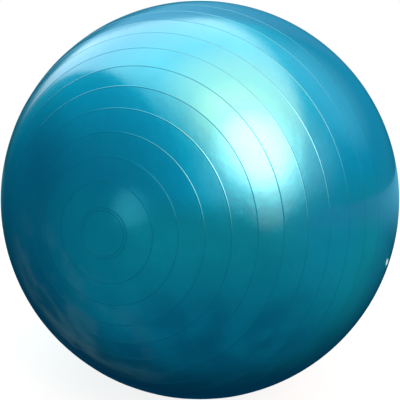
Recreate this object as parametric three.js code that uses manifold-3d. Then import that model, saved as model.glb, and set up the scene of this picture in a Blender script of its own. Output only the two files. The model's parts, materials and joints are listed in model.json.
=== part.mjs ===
// Inflated exercise ball: a thin moulded PVC shell with fine raised rings round a horizontal axis,
// a soft valve insert bonded into the shell, and a push-in stopper that slides out of the insert.
//
// Frame: millimetres, +Z up. The origin is the centre of the flat patch that the ball rests on.
// The rings are centred on the Y axis. The ball's own centre is straight above the origin.

import * as THREE from "three";
import { mergeVertices } from "three/addons/utils/BufferGeometryUtils.js";
import Module from "manifold-3d";

// Ball
const BALL_RADIUS = 325;
const WALL = 0.8;
const CONTACT_RADIUS = 45; // the patch that its own weight presses flat on a floor
const CENTRE_HEIGHT = Math.sqrt(BALL_RADIUS ** 2 - CONTACT_RADIUS ** 2);
const SEGMENTS_ROUND = 40;

// Raised rings, as angles from the end of the ring axis: a close pair round each end, then single
// rings whose gaps grow evenly.
const END_RING_PAIR_DEG = [4.6, 5.2];
const RINGS_PER_SIDE = 11;
const RING_START_DEG = 5.59;
const RING_STEP_DEG = 4.89;
const RING_STEP_GROWTH_DEG = 0.049;
const RING_HEIGHT = 0.2;
const RING_WIDTH = 1.5;
const BELT_STRIPS = 10; // strips of the smooth belt between the two sets of rings

// Valve: where it sits in the smooth belt
const VALVE_FROM_BELT_CENTRE_DEG = 13.6; // towards -Y
const VALVE_BELOW_LEVEL_DEG = 12.2; // below the height of the ball's centre, on the +X side

// Valve insert, in distances from the ball's centre along the valve's axis
const GAP = 0.3; // between touching pieces
const COLLAR_RADIUS = 7.5;
const COLLAR_TOP = 325.3;
const COLLAR_CHAMFER = 0.5;
const FLANGE_RADIUS = 16;
const FLANGE_SPHERE = 322.5; // the flange's top follows the inside of the skin
const FLANGE_THICKNESS = 1.6;
const FLANGE_STEPS = 3;
const NECK_TOP_RADIUS = 6.1;
const NECK_END_RADIUS = 5.3;
const NECK_END = 301;
const BORE_RADIUS = 3.4;
const BORE_LEAD_IN = 0.8;
const RECESS_FLOOR = 323.4; // the stopper's head sits in this recess
const RECESS_RADIUS = 5.3;

// Stopper
const HEAD_RADIUS = RECESS_RADIUS - GAP;
const HEAD_UNDERSIDE = RECESS_FLOOR + GAP;
const HEAD_THICKNESS = 2.1;
const HEAD_ROUNDING = 0.8;
const HEAD_DISH_RADIUS = 2.8;
const HEAD_DISH_DEPTH = 0.4;
const HEAD_EDGE_BREAK = 0.3 * HEAD_ROUNDING; // the middle point of the rounded edge
const SHANK_RADIUS = 2.6;
const SHANK_LENGTH = 20;
const TIP_RADIUS = 1.9;
const BARBS = 3;
const BARB_RADIUS = BORE_RADIUS - GAP;
const BARB_ROOT_RADIUS = 2.3;
const BARB_PITCH = 5;
const BARB_LENGTH = 3.2;
const BARB_BACK_LENGTH = 0.4;
const FIRST_BARB_FROM_TIP = 1.5;
const VALVE_SEGMENTS = 32;

const radians = THREE.MathUtils.degToRad;
const wasm = await Module();
wasm.setup();

// A point of an outline that turns about Y: a distance from the centre, at an angle from the -Y end.
function polar(radius, angleDeg) {
  const angle = radians(angleDeg);
  return new THREE.Vector2(radius * Math.sin(angle), -radius * Math.cos(angle));
}

function singleRingAngle(k) {
  return RING_START_DEG + RING_STEP_DEG * k + RING_STEP_GROWTH_DEG * k * k;
}

// Angles of every ring, from the -Y end to the +Y end.
function allRingAngles() {
  const single = Array.from({ length: RINGS_PER_SIDE }, (_, k) => singleRingAngle(k + 1));
  const nearSide = [...END_RING_PAIR_DEG, ...single];
  const farSide = nearSide.map((angle) => 180 - angle).reverse();
  return { nearSide, farSide };
}

function beltAngles() {
  const start = singleRingAngle(RINGS_PER_SIDE);
  const strip = (180 - 2 * start) / BELT_STRIPS;
  return Array.from({ length: BELT_STRIPS - 1 }, (_, k) => start + strip * (k + 1));
}

// Outside of the skin: each ring is a low ridge of three points.
function outerOutline() {
  const { nearSide, farSide } = allRingAngles();
  const halfWidth = THREE.MathUtils.radToDeg(RING_WIDTH / 2 / BALL_RADIUS);
  const ridge = (angle) => [
    polar(BALL_RADIUS, angle - halfWidth),
    polar(BALL_RADIUS + RING_HEIGHT, angle),
    polar(BALL_RADIUS, angle + halfWidth),
  ];
  return [
    new THREE.Vector2(0, -BALL_RADIUS),
    ...nearSide.flatMap(ridge),
    ...beltAngles().map((angle) => polar(BALL_RADIUS, angle)),
    ...farSide.flatMap(ridge),
    new THREE.Vector2(0, BALL_RADIUS),
  ];
}

function innerOutline() {
  const { nearSide, farSide } = allRingAngles();
  const inside = BALL_RADIUS - WALL;
  return [
    new THREE.Vector2(0, -inside),
    ...[...nearSide, ...beltAngles(), ...farSide].map((angle) => polar(inside, angle)),
    new THREE.Vector2(0, inside),
  ];
}

function solid(geometry) {
  const bare = geometry.index ? geometry.toNonIndexed() : geometry.clone();
  bare.deleteAttribute("normal");
  bare.deleteAttribute("uv");
  const merged = mergeVertices(bare, 1e-4);
  return new wasm.Manifold(
    new wasm.Mesh({
      numProp: 3,
      vertProperties: new Float32Array(merged.attributes.position.array),
      triVerts: new Uint32Array(merged.index.array),
    }),
  );
}

function geometryOf(manifold) {
  const mesh = manifold.getMesh();
  const geometry = new THREE.BufferGeometry();
  geometry.setAttribute("position", new THREE.BufferAttribute(mesh.vertProperties, 3));
  geometry.setIndex(new THREE.BufferAttribute(mesh.triVerts, 1));
  return geometry;
}

// Everything above a level plane, as a block large enough to hold the ball.
function blockAbove(level) {
  const side = 4 * BALL_RADIUS;
  const block = new THREE.BoxGeometry(side, side, side);
  block.translate(0, 0, level + side / 2);
  return solid(block);
}

// Turns +Y to the direction that the valve faces.
function valveTurn() {
  const fromBelt = radians(VALVE_FROM_BELT_CENTRE_DEG);
  const below = radians(VALVE_BELOW_LEVEL_DEG);
  const direction = new THREE.Vector3(
    Math.cos(fromBelt) * Math.cos(below),
    -Math.sin(fromBelt),
    -Math.cos(fromBelt) * Math.sin(below),
  );
  return new THREE.Quaternion().setFromUnitVectors(new THREE.Vector3(0, 1, 0), direction);
}

function skinGeometry() {
  const floor = -CENTRE_HEIGHT;
  const outside = solid(new THREE.LatheGeometry(outerOutline(), SEGMENTS_ROUND));
  const inside = solid(new THREE.LatheGeometry(innerOutline(), SEGMENTS_ROUND));
  const shell = outside
    .intersect(blockAbove(floor))
    .subtract(inside.intersect(blockAbove(floor + WALL)));
  const holeRadius = COLLAR_RADIUS + GAP;
  const throughWall = 10 * WALL;
  const hole = new THREE.CylinderGeometry(holeRadius, holeRadius, throughWall, VALVE_SEGMENTS);
  hole.translate(0, BALL_RADIUS, 0);
  hole.applyQuaternion(valveTurn());
  return geometryOf(shell.subtract(solid(hole)));
}

// Valve insert: flange, collar with a recess for the stopper's head, and a neck with the air bore.
function seatGeometry() {
  const onFlange = (radius) =>
    new THREE.Vector2(radius, Math.sqrt(FLANGE_SPHERE ** 2 - radius ** 2));
  const flangeTop = Array.from({ length: FLANGE_STEPS + 1 }, (_, k) =>
    onFlange(FLANGE_RADIUS + ((COLLAR_RADIUS - FLANGE_RADIUS) * k) / FLANGE_STEPS),
  );
  const flangeEdge = flangeTop[0].y - FLANGE_THICKNESS;
  const flangeUnderside = FLANGE_SPHERE - FLANGE_THICKNESS;
  const outline = [
    new THREE.Vector2(BORE_RADIUS, NECK_END),
    new THREE.Vector2(NECK_END_RADIUS, NECK_END),
    new THREE.Vector2(NECK_TOP_RADIUS, flangeUnderside),
    new THREE.Vector2(FLANGE_RADIUS, flangeEdge),
    ...flangeTop,
    new THREE.Vector2(COLLAR_RADIUS, COLLAR_TOP - COLLAR_CHAMFER),
    new THREE.Vector2(COLLAR_RADIUS - COLLAR_CHAMFER, COLLAR_TOP),
    new THREE.Vector2(RECESS_RADIUS, COLLAR_TOP),
    new THREE.Vector2(RECESS_RADIUS, RECESS_FLOOR),
    new THREE.Vector2(BORE_RADIUS + BORE_LEAD_IN, RECESS_FLOOR),
    new THREE.Vector2(BORE_RADIUS, RECESS_FLOOR - BORE_LEAD_IN),
    new THREE.Vector2(BORE_RADIUS, NECK_END),
  ];
  return new THREE.LatheGeometry(outline, VALVE_SEGMENTS);
}

// Stopper: domed head with a shallow dish, and a shank with saw-tooth barbs.
function plugGeometry() {
  const headTop = HEAD_UNDERSIDE + HEAD_THICKNESS;
  const shankEnd = HEAD_UNDERSIDE - SHANK_LENGTH;
  const barb = (foot) => [
    new THREE.Vector2(BARB_ROOT_RADIUS, foot),
    new THREE.Vector2(BARB_RADIUS, foot + BARB_LENGTH),
    new THREE.Vector2(BARB_ROOT_RADIUS, foot + BARB_LENGTH + BARB_BACK_LENGTH),
  ];
  const barbs = Array.from({ length: BARBS }, (_, k) =>
    barb(shankEnd + FIRST_BARB_FROM_TIP + BARB_PITCH * k),
  ).flat();
  const outline = [
    new THREE.Vector2(0, shankEnd),
    new THREE.Vector2(TIP_RADIUS, shankEnd),
    ...barbs,
    new THREE.Vector2(SHANK_RADIUS, HEAD_UNDERSIDE),
    new THREE.Vector2(HEAD_RADIUS, HEAD_UNDERSIDE),
    new THREE.Vector2(HEAD_RADIUS, headTop - HEAD_ROUNDING),
    new THREE.Vector2(HEAD_RADIUS - HEAD_EDGE_BREAK, headTop - HEAD_EDGE_BREAK),
    new THREE.Vector2(HEAD_RADIUS - HEAD_ROUNDING, headTop),
    new THREE.Vector2(HEAD_DISH_RADIUS, headTop),
    new THREE.Vector2(0, headTop - HEAD_DISH_DEPTH),
  ];
  return new THREE.LatheGeometry(outline, VALVE_SEGMENTS);
}

function piece(name, geometry, colour, roughness) {
  const material = new THREE.MeshStandardMaterial({ color: colour, roughness, metalness: 0 });
  const mesh = new THREE.Mesh(geometry, material);
  mesh.name = name;
  return mesh;
}

const skin = piece("ball_skin", skinGeometry(), 0x0f7f9c, 0.22);

const valve = new THREE.Group();
valve.quaternion.copy(valveTurn());
valve.add(piece("valve_seat", seatGeometry(), 0x167388, 0.4));
valve.add(piece("valve_plug", plugGeometry(), 0xa8c2cd, 0.4));

const ball = new THREE.Group();
ball.position.z = CENTRE_HEIGHT;
ball.add(skin, valve);

export default ball;
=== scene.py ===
"""Looks of the exercise ball: a pearly teal PVC skin with fine raised rings, a valve insert and a stopper.

Everything is in metres in the CAD frame: +Z up, the floor at z = 0 and the rings centred on the Y axis.
Polar angles are measured from the -Y end of the ring axis. Shapes round the valve are given in
millimetres, as a radius from the valve's axis and a height along it from the ball's centre.
"""

import json
import math

import bmesh
import bpy
import numpy as np
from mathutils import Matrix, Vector


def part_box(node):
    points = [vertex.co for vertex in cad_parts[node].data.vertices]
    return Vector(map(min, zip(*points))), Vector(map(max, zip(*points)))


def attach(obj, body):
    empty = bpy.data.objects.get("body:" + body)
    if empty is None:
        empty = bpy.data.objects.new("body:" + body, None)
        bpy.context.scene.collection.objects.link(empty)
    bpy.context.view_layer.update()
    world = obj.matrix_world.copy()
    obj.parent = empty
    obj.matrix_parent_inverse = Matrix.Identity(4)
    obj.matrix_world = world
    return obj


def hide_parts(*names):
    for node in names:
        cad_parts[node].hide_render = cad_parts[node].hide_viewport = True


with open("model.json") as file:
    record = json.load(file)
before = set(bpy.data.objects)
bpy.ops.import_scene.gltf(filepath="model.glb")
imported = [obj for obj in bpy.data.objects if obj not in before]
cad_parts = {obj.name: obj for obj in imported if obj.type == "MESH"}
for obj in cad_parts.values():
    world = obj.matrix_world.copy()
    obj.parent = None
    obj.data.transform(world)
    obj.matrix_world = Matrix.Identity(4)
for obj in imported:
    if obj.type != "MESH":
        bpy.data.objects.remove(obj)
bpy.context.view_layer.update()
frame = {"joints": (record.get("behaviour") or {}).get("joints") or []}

MM = 0.001

# The ball, from the frame
SKIN_LOW, SKIN_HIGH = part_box("ball_skin")
BALL_RADIUS = (SKIN_HIGH.x - SKIN_LOW.x) / 2
BALL_CENTRE = Vector((0, 0, SKIN_HIGH.z - BALL_RADIUS))
WALL = 0.8 * MM
FLOOR_ROLL = 1.6 * MM  # how far above the floor the skin starts to roll up from the flat patch

# The raised rings, as polar angles in degrees from either end of the Y axis, the same as the CAD model's
END_RING_PAIR = (4.6, 5.2)
RINGS_PER_SIDE = 11
RING_START = 5.59
RING_STEP = 4.89
RING_STEP_GROWTH = 0.049
RING_HEIGHT = 0.17 * MM  # a little under the height of the sharper ridges in the CAD model
RING_WIDTH = 1.5 * MM
ACROSS_RING = (-1.3, -1, -0.6, -0.25, 0, 0.25, 0.6, 1, 1.3)  # where the rows lie, in half widths
PARTING_HEIGHT = 0.05 * MM  # the mould's joint line, round the middle of the smooth belt
PARTING_WIDTH = 0.9 * MM
ACROSS_PARTING = (-1.3, -1, 0, 1, 1.3)

# Rows and segments of the skin's mesh
SEGMENTS_ROUND = 256
END_ROWS = (1.5, 3.1)  # polar angles of the rows inside each close pair of rings
ROW_STEP = 2  # degrees between the rows from one ring to the next
WIDEST_RING_GAP = 10  # degrees: a wider gap is the smooth belt
BELT_ROWS = 31  # odd, so that none of them falls on the parting line
INNER_ROWS = 60
INNER_SEGMENTS = 128

# The valve's own axes: along it, level, and across both
VALVE_AXIS = Vector(frame["joints"][0]["axis"]).normalized()
VALVE_LEVEL = VALVE_AXIS.cross(Vector((0, 0, 1))).normalized()
VALVE_UP = VALVE_LEVEL.cross(VALVE_AXIS)

# The skin round the valve, in millimetres
SPHERE = BALL_RADIUS / MM
SKIN_INSIDE = (BALL_RADIUS - WALL) / MM
PATCH_RADIUS = 24  # the skin's grid gives way to circles round the valve inside this
OUTER_OPENING = PATCH_RADIUS + 6  # the grid is cut away inside this, and joined to the circles
INNER_OPENING = PATCH_RADIUS + 10
OUTSIDE_PAD = (PATCH_RADIUS, 21.5, 19.5, 18)  # radii of the circles outside the low pad round the valve
ON_PAD = (12.5, 11, 9.8)
UNDER_SKIN = (10, 14, 19, PATCH_RADIUS)
PAD_RADIUS = 15
PAD_HEIGHT = 0.25
PAD_EDGE = 1.2  # half the width of the slope round the pad
PAD_EDGE_STEPS = 4
HOLE_RADIUS = 7.8
HOLE_ROLL = 0.3
HOLE_ROLL_STEP = 18  # degrees
PATCH_SEGMENTS = 64

# The valve insert, in millimetres, with the CAD model's main sizes
GAP = 0.3
COLLAR_RADIUS = HOLE_RADIUS - GAP
COLLAR_TOP = 325.3
GROOVE_RADIUS = 6.45  # the fine groove in the collar's top
GROOVE_MOUTH = 0.3  # half its width at the top
GROOVE_FLOOR = 0.15  # half its width at the bottom
GROOVE_DEPTH = 0.18
RECESS_RADIUS = 5.3
RECESS_FLOOR = 323.4
FLANGE_RADIUS = 16
FLANGE_TOP = SKIN_INSIDE - 0.1  # the sphere that its top follows, closer to the skin than the CAD model's
FLANGE_MIDDLE = 12.5  # a radius where the flange's top has one more point, to stay round
FLANGE_THICKNESS = 2
FLANGE_EDGE_THICKNESS = 1.2
NECK_TOP_RADIUS = 6.1
NECK_END_RADIUS = 5.3
NECK_END = 301
NECK_RIBS = 6
RIB_HEIGHT = 0.5
RIB_FOOT = NECK_END + 1.5
RIB_HEAD = NECK_END + 17
RIB_RUN_OUT = 1.5
BORE_RADIUS = 3.4
BORE_LEAD_IN = 0.8

# The stopper, in millimetres, with the CAD model's main sizes
HEAD_RADIUS = RECESS_RADIUS - GAP
HEAD_UNDERSIDE = RECESS_FLOOR + GAP
HEAD_THICKNESS = 2.1
HEAD_TOP = HEAD_UNDERSIDE + HEAD_THICKNESS
HEAD_ROUNDING = 0.8
DISH_RADIUS = 2.8
DISH_FLOOR_RADIUS = 2.5
DISH_DEPTH = 0.4
DISH_FLOOR = HEAD_TOP - DISH_DEPTH
GATE_RADIUS = 0.8  # the mark left by the mould's gate, in the middle of the dish
GATE_HEIGHT = 0.12
NOTCH_TURN = math.radians(-90)  # the notch to lift the head by, on its lower side
NOTCH_HALF_WIDTH = math.radians(18)
NOTCH_DEPTH = 0.7
SHANK_RADIUS = 2.6
SHANK_LENGTH = 20
SHANK_END = HEAD_UNDERSIDE - SHANK_LENGTH
PLAIN_SHANK = 3  # the length under the head without barbs
TIP_RADIUS = 1.9
BARBS = 3
FIRST_BARB_FROM_TIP = 1.5
BARB_RADIUS = BORE_RADIUS - GAP
BARB_ROOT_RADIUS = 2.3
BARB_PITCH = 5
BARB_LENGTH = 3.2
BARB_BACK_LENGTH = 0.4

VALVE_SEGMENTS = 96
ARC_STEPS = 5
HOLD = 0.3  # how far beyond an arc its holding points are, as a share of its radius

# The camera, which sees the ball at the photo's angle
CAMERA_AZIMUTH = 19.8
CAMERA_ELEVATION = 7.2
CAMERA_DISTANCE = 2.6 * BALL_RADIUS
SHARE_OF_FRAME = 0.9965  # the ball's width, as a share of the frame's


def direction(azimuth, elevation):
    a = math.radians(azimuth)
    e = math.radians(elevation)
    return Vector((math.sin(a) * math.cos(e), -math.cos(a) * math.cos(e), math.sin(e)))


# ---------------------------------------------------------------- meshes


def mesh_object(name, bm):
    """Turns a closed bmesh into a smooth object with its faces pointing out."""
    bmesh.ops.recalc_face_normals(bm, faces=bm.faces)
    mesh = bpy.data.meshes.new(name)
    bm.to_mesh(mesh)
    bm.free()
    mesh.polygons.foreach_set("use_smooth", [True] * len(mesh.polygons))
    obj = bpy.data.objects.new(name, mesh)
    bpy.context.scene.collection.objects.link(obj)
    return obj


def join_loops(bm, lower, upper):
    """Quads between two loops with the same number of vertices."""
    count = len(lower)
    for k in range(count):
        bm.faces.new((lower[k], lower[(k + 1) % count], upper[(k + 1) % count], upper[k]))


def loop_edges(loop):
    """The edges that run along a closed loop of vertices."""
    edges = []
    for k, vertex in enumerate(loop):
        after = loop[(k + 1) % len(loop)]
        edges.append(next(e for e in vertex.link_edges if e.other_vert(vertex) == after))
    return edges


def ring_angles():
    single = [RING_START + RING_STEP * k + RING_STEP_GROWTH * k * k for k in range(1, RINGS_PER_SIDE + 1)]
    near = [*END_RING_PAIR, *single]
    return near + [180 - a for a in reversed(near)]


def skin_rows():
    """Polar angles of the outer rows: close together across each ring, and evenly between the rings."""
    to_degrees = math.degrees(1 / BALL_RADIUS)
    rings = ring_angles()
    rows = [*END_ROWS, *(180 - a for a in END_ROWS)]
    for a in rings:
        rows += [a + s * RING_WIDTH / 2 * to_degrees for s in ACROSS_RING]
    for a, b in zip(rings, rings[1:]):
        steps = BELT_ROWS if b - a > WIDEST_RING_GAP else max(1, min(2, round((b - a) / ROW_STEP)))
        rows += [a + (b - a) * s / steps for s in range(1, steps)]
    rows += [90 + s * PARTING_WIDTH / 2 * to_degrees for s in ACROSS_PARTING]
    return np.radians(sorted(rows))


def ridge(polar, at, width, height):
    """A rounded ridge round the ring axis, at a polar angle in degrees."""
    across = (polar - math.radians(at)) * BALL_RADIUS / (width / 2)
    return np.where(np.abs(across) < 1, height * np.cos(across * math.pi / 2) ** 2, 0)


def ring_relief(polar):
    return sum(ridge(polar, at, RING_WIDTH, RING_HEIGHT) for at in ring_angles())


def settle(z, floor):
    """Presses heights flat on a floor, with a soft roll up into the round of the ball."""
    z = z - floor
    rolled = (z + FLOOR_ROLL) ** 2 / (4 * FLOOR_ROLL)
    return floor + np.where(z > FLOOR_ROLL, z, np.where(z < -FLOOR_ROLL, 0, rolled))


def add_ball(bm, polar, radii, end_radius, segments, floor):
    """A closed ball of rows round the Y axis, which rests on a floor. Returns its faces."""
    around = [2 * math.pi * k / segments for k in range(segments)]

    def place(radius, angle, turn):
        x = radius * math.sin(angle) * math.cos(turn)
        y = -radius * math.cos(angle)
        z = BALL_CENTRE.z + radius * math.sin(angle) * math.sin(turn)
        return bm.verts.new((x, y, float(settle(z, floor))))

    near_end = place(end_radius, 0, 0)
    loops = [[place(r, p, q) for q in around] for r, p in zip(radii, polar)]
    far_end = place(end_radius, math.pi, 0)
    start = len(bm.faces)
    for lower, upper in zip(loops, loops[1:]):
        join_loops(bm, lower, upper)
    for k in range(segments):
        bm.faces.new((near_end, loops[0][(k + 1) % segments], loops[0][k]))
        bm.faces.new((far_end, loops[-1][k], loops[-1][(k + 1) % segments]))
    bm.faces.ensure_lookup_table()
    return bm.faces[start:]


def from_valve_axis(point):
    """How far a point on the valve's side is from the valve's axis, in millimetres."""
    offset = Vector(point) - BALL_CENTRE
    along = offset.dot(VALVE_AXIS)
    if along < 0:
        return math.inf
    return (offset - along * VALVE_AXIS).length / MM


def open_at_valve(bm, faces, radius):
    """Cuts a stepped opening round the valve, and returns its edges."""
    inside = [f for f in faces if from_valve_axis(f.calc_center_median()) < radius]

    def is_outer(edge):
        return any(face not in inside for face in edge.link_faces)

    around_opening = {e for f in inside for e in f.edges if is_outer(e)}
    bmesh.ops.delete(bm, geom=inside, context="FACES")
    return list(around_opening)


def valve_point(radius, height, turn):
    across = math.cos(turn) * VALVE_LEVEL + math.sin(turn) * VALVE_UP
    return BALL_CENTRE + (height * VALVE_AXIS + radius * across) * MM


def valve_loop(bm, radius, height, segments):
    turns = [2 * math.pi * k / segments for k in range(segments)]
    return [bm.verts.new(valve_point(radius, height, t)) for t in turns]


def ease(value, low, high):
    t = min(max((value - low) / (high - low), 0), 1)
    return t * t * (3 - 2 * t)


def patch_profile():
    """Section of the skin round the valve, from its outside over the rim of the hole to its inside."""
    def pad(radius):
        lift = PAD_HEIGHT * (1 - ease(radius, PAD_RADIUS - PAD_EDGE, PAD_RADIUS + PAD_EDGE))
        return math.sqrt((SPHERE + lift) ** 2 - radius**2)

    pad_steps = range(PAD_EDGE_STEPS, -PAD_EDGE_STEPS - 1, -1)
    pad_edge = [PAD_RADIUS + PAD_EDGE * k / PAD_EDGE_STEPS for k in pad_steps]
    section = [(r, pad(r)) for r in (*OUTSIDE_PAD, *pad_edge, *ON_PAD)]
    roll_centre = HOLE_RADIUS + HOLE_ROLL
    roll_height = pad(roll_centre) - HOLE_ROLL
    for angle in range(90, 181, HOLE_ROLL_STEP):
        a = math.radians(angle)
        section.append((roll_centre + HOLE_ROLL * math.cos(a), roll_height + HOLE_ROLL * math.sin(a)))
    for radius in (HOLE_RADIUS, *UNDER_SKIN):
        section.append((radius, math.sqrt(SKIN_INSIDE**2 - radius**2)))
    return section


def mark_rings(obj):
    """Stores how far up a ring each point of the skin is, from 0 beside the rings to 1 on their crests."""
    points = np.empty(len(obj.data.vertices) * 3)
    obj.data.vertices.foreach_get("co", points)
    offsets = points.reshape(-1, 3) - np.array(BALL_CENTRE)
    distance = np.linalg.norm(offsets, axis=1)
    polar = np.arccos(np.clip(-offsets[:, 1] / distance, -1, 1))
    share = ring_relief(polar) / RING_HEIGHT
    attribute = obj.data.attributes.new("ring", "FLOAT", "POINT")
    attribute.data.foreach_set("value", share.astype(np.float32))


def make_skin():
    bm = bmesh.new()
    polar = skin_rows()
    relief = ring_relief(polar) + ridge(polar, 90, PARTING_WIDTH, PARTING_HEIGHT)
    outer = add_ball(bm, polar, BALL_RADIUS + relief, BALL_RADIUS, SEGMENTS_ROUND, 0)
    outer_edges = open_at_valve(bm, outer, OUTER_OPENING)
    inside = BALL_RADIUS - WALL
    inner_polar = np.linspace(0, math.pi, INNER_ROWS + 2)[1:-1]
    inner = add_ball(bm, inner_polar, [inside] * INNER_ROWS, inside, INNER_SEGMENTS, WALL)
    inner_edges = open_at_valve(bm, inner, INNER_OPENING)
    loops = [valve_loop(bm, radius, height, PATCH_SEGMENTS) for radius, height in patch_profile()]
    for lower, upper in zip(loops, loops[1:]):
        join_loops(bm, lower, upper)
    bmesh.ops.bridge_loops(bm, edges=outer_edges + loop_edges(loops[0]))
    bmesh.ops.bridge_loops(bm, edges=inner_edges + loop_edges(loops[-1]))
    obj = mesh_object("skin", bm)
    mark_rings(obj)
    return obj


def corner_arc(before, corner, after, rounding):
    """The points that replace one corner of a section: an arc, and a point close to it on either side."""
    if rounding == 0:
        return [corner]
    to_before = (before - corner).normalized()
    to_after = (after - corner).normalized()
    half = to_before.angle(to_after) / 2
    reach = rounding / math.tan(half)
    centre = corner + (to_before + to_after).normalized() * rounding / math.sin(half)
    start = corner + to_before * reach - centre
    end = corner + to_after * reach - centre
    arc = [centre + start.lerp(end, k / ARC_STEPS).normalized() * rounding for k in range(ARC_STEPS + 1)]
    hold = HOLD * rounding
    return [arc[0] + to_before * hold, *arc, arc[-1] + to_after * hold]


def rounded(corners, closed):
    """A section through corners of (radius, height, rounding)."""
    places = [Vector(c[:2]) for c in corners]
    section = []
    for k, (_radius, _height, rounding) in enumerate(corners):
        before = places[k - 1]
        after = places[(k + 1) % len(places)]
        at_end = not closed and k in (0, len(places) - 1)
        section += corner_arc(before, places[k], after, 0 if at_end else rounding)
    return section


def turned_piece(name, section, closed, shape):
    """Turns a section round the valve's axis. Shape moves each point by its radius, height and turn."""
    bm = bmesh.new()
    turns = [2 * math.pi * k / VALVE_SEGMENTS for k in range(VALVE_SEGMENTS)]
    ring_section = section if closed else section[1:-1]
    loops = []
    for radius, height in ring_section:
        loops.append([bm.verts.new(valve_point(*shape(radius, height, turn), turn)) for turn in turns])
    for lower, upper in zip(loops, loops[1:]):
        join_loops(bm, lower, upper)
    if closed:
        join_loops(bm, loops[-1], loops[0])
    else:
        for end, loop in ((section[0], loops[0]), (section[-1], loops[-1])):
            centre = bm.verts.new(valve_point(0, end[1], 0))
            for k in range(VALVE_SEGMENTS):
                bm.faces.new((centre, loop[k], loop[(k + 1) % VALVE_SEGMENTS]))
    return mesh_object(name, bm)


def make_seat():
    """The valve insert: flange, collar with a fine groove, recess, and a ribbed neck with the air bore."""
    def on_flange(radius):
        return math.sqrt(FLANGE_TOP**2 - radius**2)

    corners = [
        (BORE_RADIUS, NECK_END, 0.3),
        (NECK_END_RADIUS, NECK_END, 0.5),
        (NECK_END_RADIUS + 0.05, RIB_FOOT, 0),
        (NECK_END_RADIUS + 0.12, RIB_FOOT + RIB_RUN_OUT, 0),
        (NECK_TOP_RADIUS - 0.15, RIB_HEAD, 0),
        (NECK_TOP_RADIUS - 0.08, RIB_HEAD + RIB_RUN_OUT, 0),
        (NECK_TOP_RADIUS, FLANGE_TOP - FLANGE_THICKNESS, 1.2),
        (FLANGE_RADIUS, on_flange(FLANGE_RADIUS) - FLANGE_EDGE_THICKNESS, 0.4),
        (FLANGE_RADIUS, on_flange(FLANGE_RADIUS), 0.3),
        (FLANGE_MIDDLE, on_flange(FLANGE_MIDDLE), 0),
        (COLLAR_RADIUS, on_flange(COLLAR_RADIUS), 0.3),
        (COLLAR_RADIUS, COLLAR_TOP, 0.4),
        (GROOVE_RADIUS + GROOVE_MOUTH, COLLAR_TOP, 0.08),
        (GROOVE_RADIUS + GROOVE_FLOOR, COLLAR_TOP - GROOVE_DEPTH, 0.06),
        (GROOVE_RADIUS - GROOVE_FLOOR, COLLAR_TOP - GROOVE_DEPTH, 0.06),
        (GROOVE_RADIUS - GROOVE_MOUTH, COLLAR_TOP, 0.08),
        (RECESS_RADIUS, COLLAR_TOP, 0.2),
        (RECESS_RADIUS, RECESS_FLOOR, 0.25),
        (BORE_RADIUS + 0.7, RECESS_FLOOR, 0.2),
        (BORE_RADIUS, RECESS_FLOOR - BORE_LEAD_IN, 0.3),
    ]

    def neck_ribs(radius, height, turn):
        if radius < BORE_RADIUS + 1:
            return radius, height
        rising = ease(height, RIB_FOOT, RIB_FOOT + RIB_RUN_OUT)
        falling = ease(height, RIB_HEAD, RIB_HEAD + RIB_RUN_OUT)
        around = max(0, math.cos(NECK_RIBS * turn)) ** 6
        return radius + RIB_HEIGHT * rising * (1 - falling) * around, height

    return turned_piece("valve_insert", rounded(corners, closed=True), True, neck_ribs)


def make_plug():
    """The stopper: a low head with a dish, a gate mark and a notch to lift it by, and a barbed shank."""
    barbs = []
    for k in range(BARBS):
        foot = SHANK_END + FIRST_BARB_FROM_TIP + BARB_PITCH * k
        barbs += [
            (BARB_ROOT_RADIUS, foot, 0.3),
            (BARB_RADIUS, foot + BARB_LENGTH, 0.12),
            (BARB_ROOT_RADIUS, foot + BARB_LENGTH + BARB_BACK_LENGTH, 0.1),
        ]
    corners = [
        (0, SHANK_END, 0),
        (TIP_RADIUS, SHANK_END, 0.4),
        *barbs,
        (SHANK_RADIUS, HEAD_UNDERSIDE - PLAIN_SHANK, 0.3),
        (SHANK_RADIUS, HEAD_UNDERSIDE, 0.3),
        (HEAD_RADIUS, HEAD_UNDERSIDE, 0.25),
        (HEAD_RADIUS, HEAD_TOP, HEAD_ROUNDING),
        (DISH_RADIUS, HEAD_TOP, 0.2),
        (DISH_FLOOR_RADIUS, DISH_FLOOR, 0.2),
        (GATE_RADIUS, DISH_FLOOR, 0.1),
        (GATE_RADIUS - 0.1, DISH_FLOOR + GATE_HEIGHT, 0.05),
        (0, DISH_FLOOR + GATE_HEIGHT - 0.02, 0),
    ]

    def lifting_notch(radius, height, turn):
        off = abs(math.remainder(turn - NOTCH_TURN, 2 * math.pi)) / NOTCH_HALF_WIDTH
        across = 1 - ease(off, 0.45, 1)
        outward = ease(radius, HEAD_RADIUS - 1.4, HEAD_RADIUS - 0.6)
        upward = ease(height, HEAD_UNDERSIDE - 0.1, HEAD_UNDERSIDE + 0.3)
        return radius - NOTCH_DEPTH * across * outward * upward, height

    return turned_piece("stopper", rounded(corners, closed=False), False, lifting_notch)


# ---------------------------------------------------------------- materials


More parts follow.
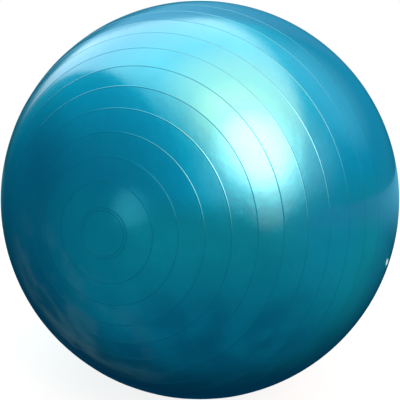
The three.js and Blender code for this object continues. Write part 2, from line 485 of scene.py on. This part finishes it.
class Graph:
    """A node tree with short calls for the few node kinds used here."""

    def __init__(self, tree):
        self.tree = tree
        self.tree.nodes.clear()

    def add(self, kind, settings=None, **inputs):
        node = self.tree.nodes.new("ShaderNode" + kind)
        for key, value in (settings or {}).items():
            setattr(node, key, value)
        for key, value in inputs.items():
            self.put(node.inputs[key.replace("_", " ")], value)
        return node

    def put(self, socket, value):
        if isinstance(value, bpy.types.NodeSocket):
            self.tree.links.new(value, socket)
        else:
            socket.default_value = value

    def math(self, operation, a, b=0.0):
        node = self.tree.nodes.new("ShaderNodeMath")
        node.operation = operation
        self.put(node.inputs[0], a)
        self.put(node.inputs[1], b)
        return node.outputs[0]

    def smooth(self, value, low, high, to_low=0.0, to_high=1.0):
        node = self.tree.nodes.new("ShaderNodeMapRange")
        node.interpolation_type = "SMOOTHSTEP"
        for socket, v in zip(node.inputs[:5], (value, low, high, to_low, to_high)):
            self.put(socket, v)
        return node.outputs[0]

    def mix(self, factor, a, b):
        node = self.tree.nodes.new("ShaderNodeMix")
        node.data_type = "RGBA"
        self.put(node.inputs[0], factor)
        self.put(node.inputs[6], a)
        self.put(node.inputs[7], b)
        return node.outputs[2]

    def dot(self, vector, axis):
        node = self.tree.nodes.new("ShaderNodeVectorMath")
        node.operation = "DOT_PRODUCT"
        self.put(node.inputs[0], vector)
        self.put(node.inputs[1], axis)
        return node.outputs["Value"]

    def vector(self, operation, a, b=(0, 0, 0)):
        node = self.tree.nodes.new("ShaderNodeVectorMath")
        node.operation = operation
        self.put(node.inputs[0], a)
        self.put(node.inputs[1], b)
        return node.outputs["Vector"]

    def noise(self, vector, scale, detail, roughness=0.5):
        node = self.add("TexNoise", Vector=vector, Scale=scale, Detail=detail, Roughness=roughness)
        return node.outputs["Fac"]


def material(name):
    made = bpy.data.materials.new(name)
    made.use_nodes = True
    return made, Graph(made.node_tree)


def finish_material(g, shader):
    output = g.add("OutputMaterial")
    g.tree.links.new(shader.outputs[0], output.inputs[0])


def pearl_pvc():
    """Glossy PVC with pearl pigment: clouded colour, fine flecks, painted shade along the rings' flanks,
    orange peel, scuffs and floor dust.
    """
    made, g = material("pearl_pvc")
    place = g.add("TexCoord").outputs["Object"]
    ring = g.add("Attribute", {"attribute_name": "ring"}).outputs["Fac"]
    level = g.add("SeparateXYZ", Vector=place).outputs["Z"]
    cloud = g.noise(place, 7.0, 3.0)
    mottle = g.noise(place, 60.0, 3.0)
    flecks = g.add("TexVoronoi", Vector=place, Scale=1900.0).outputs["Distance"]
    swell = g.noise(place, 75.0, 1.0)
    peel = g.noise(place, 240.0, 2.0)
    grain = g.noise(place, 1300.0, 2.0)
    scuffs = g.smooth(g.noise(g.vector("MULTIPLY", place, (1, 6, 1)), 55.0, 6.0, 0.7), 0.62, 0.72)
    near_floor = g.smooth(level, 10 * MM, 70 * MM, 1.0, 0.0)

    colour = g.mix(g.smooth(cloud, 0.35, 0.65), (0.010, 0.235, 0.335, 1), (0.014, 0.26, 0.37, 1))
    colour = g.mix(g.smooth(mottle, 0.35, 0.7, 0.0, 0.35), colour, (0.010, 0.22, 0.315, 1))
    colour = g.mix(g.smooth(flecks, 0.05, 0.35, 0.35, 0.0), colour, (0.05, 0.45, 0.58, 1))
    # Painted shade: the base colour is darkened along the flanks of the raised rings
    painted_ring_shade = g.math("MULTIPLY", ring, g.math("SUBTRACT", 1.0, ring))
    colour = g.mix(g.smooth(painted_ring_shade, 0.0, 0.25, 0.0, 0.4), colour, (0.003, 0.07, 0.11, 1))
    dust = g.math("MULTIPLY", near_floor, g.smooth(mottle, 0.4, 0.65, 0.1, 0.35))
    colour = g.mix(dust, colour, (0.06, 0.14, 0.17, 1))

    roughness = g.smooth(cloud, 0.3, 0.7, 0.18, 0.23)
    roughness = g.math("ADD", roughness, g.math("MULTIPLY", scuffs, 0.06))
    roughness = g.math("ADD", roughness, g.math("MULTIPLY", near_floor, 0.12))

    height = g.math("ADD", g.math("MULTIPLY", grain, 0.25), peel)
    height = g.math("ADD", height, g.math("MULTIPLY", swell, 4.0))
    height = g.math("SUBTRACT", height, g.math("MULTIPLY", scuffs, 0.12))
    bump = g.add("Bump", Height=height, Strength=0.22, Distance=0.2 * MM)
    shader = g.add("BsdfPrincipled", Base_Color=colour, Roughness=roughness, Normal=bump.outputs[0])
    shader.inputs["Metallic"].default_value = 0.92
    shader.inputs["Coat Weight"].default_value = 1.0
    shader.inputs["Coat Roughness"].default_value = 0.05
    finish_material(g, shader)
    return made


def valve_pvc():
    """Soft satin PVC of the valve insert: the skin's colour without its pearl, and a fine moulded grain."""
    made, g = material("valve_pvc")
    place = g.add("TexCoord").outputs["Object"]
    cloud = g.noise(place, 160.0, 3.0)
    grain = g.noise(place, 2600.0, 3.0)
    colour = g.mix(g.smooth(cloud, 0.3, 0.7), (0.006, 0.15, 0.22, 1), (0.010, 0.19, 0.27, 1))
    bump = g.add("Bump", Height=grain, Strength=0.35, Distance=0.06 * MM)
    shader = g.add("BsdfPrincipled", Base_Color=colour, Normal=bump.outputs[0])
    g.put(shader.inputs["Roughness"], g.smooth(grain, 0.3, 0.7, 0.36, 0.5))
    finish_material(g, shader)
    return made


def stopper_plastic():
    """Pale moulded polythene of the stopper, slightly clouded and with fine handling marks."""
    made, g = material("stopper_plastic")
    place = g.add("TexCoord").outputs["Object"]
    cloud = g.noise(place, 120.0, 3.0)
    grain = g.noise(place, 3000.0, 2.0)
    colour = g.mix(g.smooth(cloud, 0.3, 0.7), (0.34, 0.50, 0.57, 1), (0.44, 0.58, 0.64, 1))
    bump = g.add("Bump", Height=grain, Strength=0.25, Distance=0.04 * MM)
    shader = g.add("BsdfPrincipled", Base_Color=colour, Normal=bump.outputs[0])
    g.put(shader.inputs["Roughness"], g.smooth(cloud, 0.3, 0.7, 0.32, 0.45))
    finish_material(g, shader)
    return made


# ---------------------------------------------------------------- stage


KEY_SIDE = direction(45, 0)
KEY_SIDE_TONE = 0.7
FLOOR_REACH = 30.0
FLOOR_FADE = (0.6, 6.0)  # how far from the ball the paper starts and ends its fade into the backdrop
PAPER_GLOW = 0.85  # how much of the paper's brightness near the ball is its own


def backdrop_tone(g, toward):
    """Brightness of what is seen round the studio: white, but pale grey on the side of the key light."""
    return g.smooth(g.dot(toward, KEY_SIDE), -0.1, 0.7, 1.0, KEY_SIDE_TONE)


def make_floor():
    """White paper that catches a faint shadow near the ball and fades into the backdrop further away."""
    mesh = bpy.data.meshes.new("floor")
    corners = [(FLOOR_REACH * x, FLOOR_REACH * y, 0) for x, y in ((-1, -1), (1, -1), (1, 1), (-1, 1))]
    mesh.from_pydata(corners, [], [(0, 1, 2, 3)])
    floor = bpy.data.objects.new("floor", mesh)
    bpy.context.scene.collection.objects.link(floor)
    made, g = material("pale_floor")
    paper = g.add("BsdfPrincipled", Base_Color=(0.93, 0.93, 0.93, 1), Roughness=0.9)
    place = g.add("TexCoord").outputs["Object"]
    distance = g.math("SQRT", g.dot(place, place))
    tone = backdrop_tone(g, g.vector("NORMALIZE", place))
    glow = g.add("Emission", Color=(1, 1, 1, 1), Strength=g.smooth(distance, *FLOOR_FADE, 1.0, tone))
    blend = g.add("MixShader", Fac=g.smooth(distance, *FLOOR_FADE, PAPER_GLOW, 1.0))
    g.tree.links.new(paper.outputs[0], blend.inputs[1])
    g.tree.links.new(glow.outputs[0], blend.inputs[2])
    output = g.add("OutputMaterial")
    g.tree.links.new(blend.outputs[0], output.inputs[0])
    mesh.materials.append(made)
    floor.visible_diffuse = False
    floor.visible_glossy = False


# Soft studio screens and lights, from the back layer to the front one. Each has a name, azimuth, elevation,
# radius and width of its soft edge in degrees, a colour, and how much it covers what is behind it. The
# ground hides the lower part of the first list, and not of the second.
SKY_PANELS = [
    ("far_sky", -130, 30, 4, 46, (1.35, 1.90, 2.15), 1.0),
    ("warm_bounce", 50, 52, 2, 42, (6.0, 3.6, 2.5), 0.9),
    ("high_key", 46, 42, 2, 28, (10.0, 5.0, 2.9), 0.9),
    ("low_key", 56, 22, 2, 17, (9.5, 5.8, 4.4), 0.95),
    ("key_core", 52, 31, 0, 23, (25.0, 14.0, 11.0), 0.8),
    ("front_screen_top", -30, -16, 62, 29, (0.0, 1.15, 1.35), 1.0),
    ("front_screen_side", -50, -12, 69, 3, (0.0, 0.90, 1.15), 1.0),
    ("front_screen", -45, -15, 30, 46, (0.01, 0.42, 0.57), 1.0),
    ("back_screen_rim", 158, -26, 85, 8, (0.18, 1.24, 1.48), 1.0),
    ("back_screen", 158, -17, 56, 24, (0.0, 0.70, 0.95), 1.0),
    ("back_haze", -162, 31, 24, 7, (0.20, 0.64, 0.95), 0.95),
    ("far_left_shade", -143, 12, 15, 11, (0.03, 0.30, 0.46), 0.95),
    ("right_haze", 130, 38, 3, 25, (0.60, 1.75, 2.05), 0.5),
    ("key_halo", 59, 24, 4, 38, (3.6, 1.7, 1.3), 0.38),
]
ROOM_PANELS = [
    ("front_shade", -95, -12, 12, 45, (0.0, 0.17, 0.30), 0.9),
    ("left_floor_shade", -42, -14, 4, 30, (0.0, 0.38, 0.50), 0.5),
    ("front_spot", -16, 2, 1, 11, (0.6, 1.7, 1.7), 0.4),
    ("right_ground", 94, -9, 6, 27, (0.03, 0.62, 0.76), 0.6),
    ("key_tail", 56, 4, 1, 14, (7.0, 3.4, 2.6), 0.2),
    ("back_shade", 168, 6, 10, 45, (0.02, 0.36, 0.60), 0.85),
    ("low_back_shade", -156, -34, 15, 62, (0.0, 0.03, 0.07), 1.0),
]
SKY_COLOUR = (2.2, 2.75, 2.65, 1)
GROUND_COLOUR = (0.02, 0.60, 0.61, 1)
GROUND_UNDER_BALL = (0.0, 0.33, 0.45, 1)
GROUND_PATCHES = (0.0, 0.16, 0.28, 1)
HORIZON_COLOUR = (0.14, 0.56, 0.80, 1)
GLINT_COLOUR = (0.45, 0.72, 0.70, 1)


def add_panels(g, ray, light, panels):
    for _name, azimuth, elevation, radius, edge, colour, cover in panels:
        toward = g.dot(ray, direction(azimuth, elevation))
        outer = math.cos(math.radians(radius + edge))
        inner = math.cos(math.radians(radius))
        mask = g.smooth(toward, outer, inner, 0.0, cover)
        light = g.mix(mask, light, (*colour, 1))
    return light


def make_world():
    """The studio: a bright top, two dim screens with a warm key light between them, and a teal ground."""
    world = bpy.data.worlds.new("studio")
    bpy.context.scene.world = world
    world.use_nodes = True
    g = Graph(world.node_tree)
    ray = g.add("TexCoord").outputs["Generated"]
    height = g.dot(ray, (0, 0, 1))
    sky = add_panels(g, ray, SKY_COLOUR, SKY_PANELS)
    ground = g.mix(g.smooth(height, -1.0, -0.2), GROUND_UNDER_BALL, GROUND_COLOUR)
    near_ball = g.smooth(height, -0.95, -0.55, 0.75, 0.15)
    patches = g.smooth(g.noise(ray, 4.5, 3.0), 0.42, 0.58)
    ground = g.mix(g.math("MULTIPLY", patches, near_ball), ground, GROUND_PATCHES)
    light = g.mix(g.smooth(height, -0.08, 0.22), ground, sky)
    light = add_panels(g, ray, light, ROOM_PANELS)

    # A blue haze along the horizon behind the ball
    behind = g.smooth(g.dot(ray, direction(150, 0)), -0.1, 0.6, 0.0, 0.7)
    below = g.smooth(height, -0.24, -0.04)
    band = g.math("MULTIPLY", below, g.smooth(height, -0.02, -0.005, 1.0, 0.0))
    light = g.mix(g.math("MULTIPLY", band, behind), light, HORIZON_COLOUR)

    # Pale glints on the ground at the left of the ball
    glints = g.smooth(g.noise(ray, 5.0, 3.0), 0.45, 0.65)
    side_ground = g.smooth(g.dot(ray, direction(-75, -42)), 0.72, 0.97, 0.0, 0.18)
    light = g.mix(g.math("MULTIPLY", glints, side_ground), light, GLINT_COLOUR)

    # The camera sees a plain backdrop in place of the studio
    seen = g.add("LightPath").outputs["Is Camera Ray"]
    shown = g.mix(seen, light, backdrop_tone(g, ray))
    background = g.add("Background", Color=shown, Strength=1.0)
    output = g.add("OutputWorld")
    g.tree.links.new(background.outputs[0], output.inputs[0])


def make_camera():
    toward_camera = direction(CAMERA_AZIMUTH, CAMERA_ELEVATION)
    half_angle_tangent = math.tan(math.asin(BALL_RADIUS / CAMERA_DISTANCE)) / SHARE_OF_FRAME
    data = bpy.data.cameras.new("camera")
    data.lens = data.sensor_width / 2 / half_angle_tangent
    camera = bpy.data.objects.new("camera", data)
    bpy.context.scene.collection.objects.link(camera)
    camera.location = BALL_CENTRE + toward_camera * CAMERA_DISTANCE
    camera.rotation_mode = "QUATERNION"
    camera.rotation_quaternion = (-toward_camera).to_track_quat("-Z", "Y")
    bpy.context.scene.camera = camera


make_floor()
make_world()
make_camera()
bpy.context.scene.view_settings.view_transform = "Standard"

skin = make_skin()
skin.data.materials.append(pearl_pvc())
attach(skin, "ball")
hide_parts("ball_skin")

seat = make_seat()
seat.data.materials.append(valve_pvc())
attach(seat, "ball")
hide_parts("valve_seat")

plug = make_plug()
plug.data.materials.append(stopper_plastic())
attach(plug, "plug")
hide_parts("valve_plug")
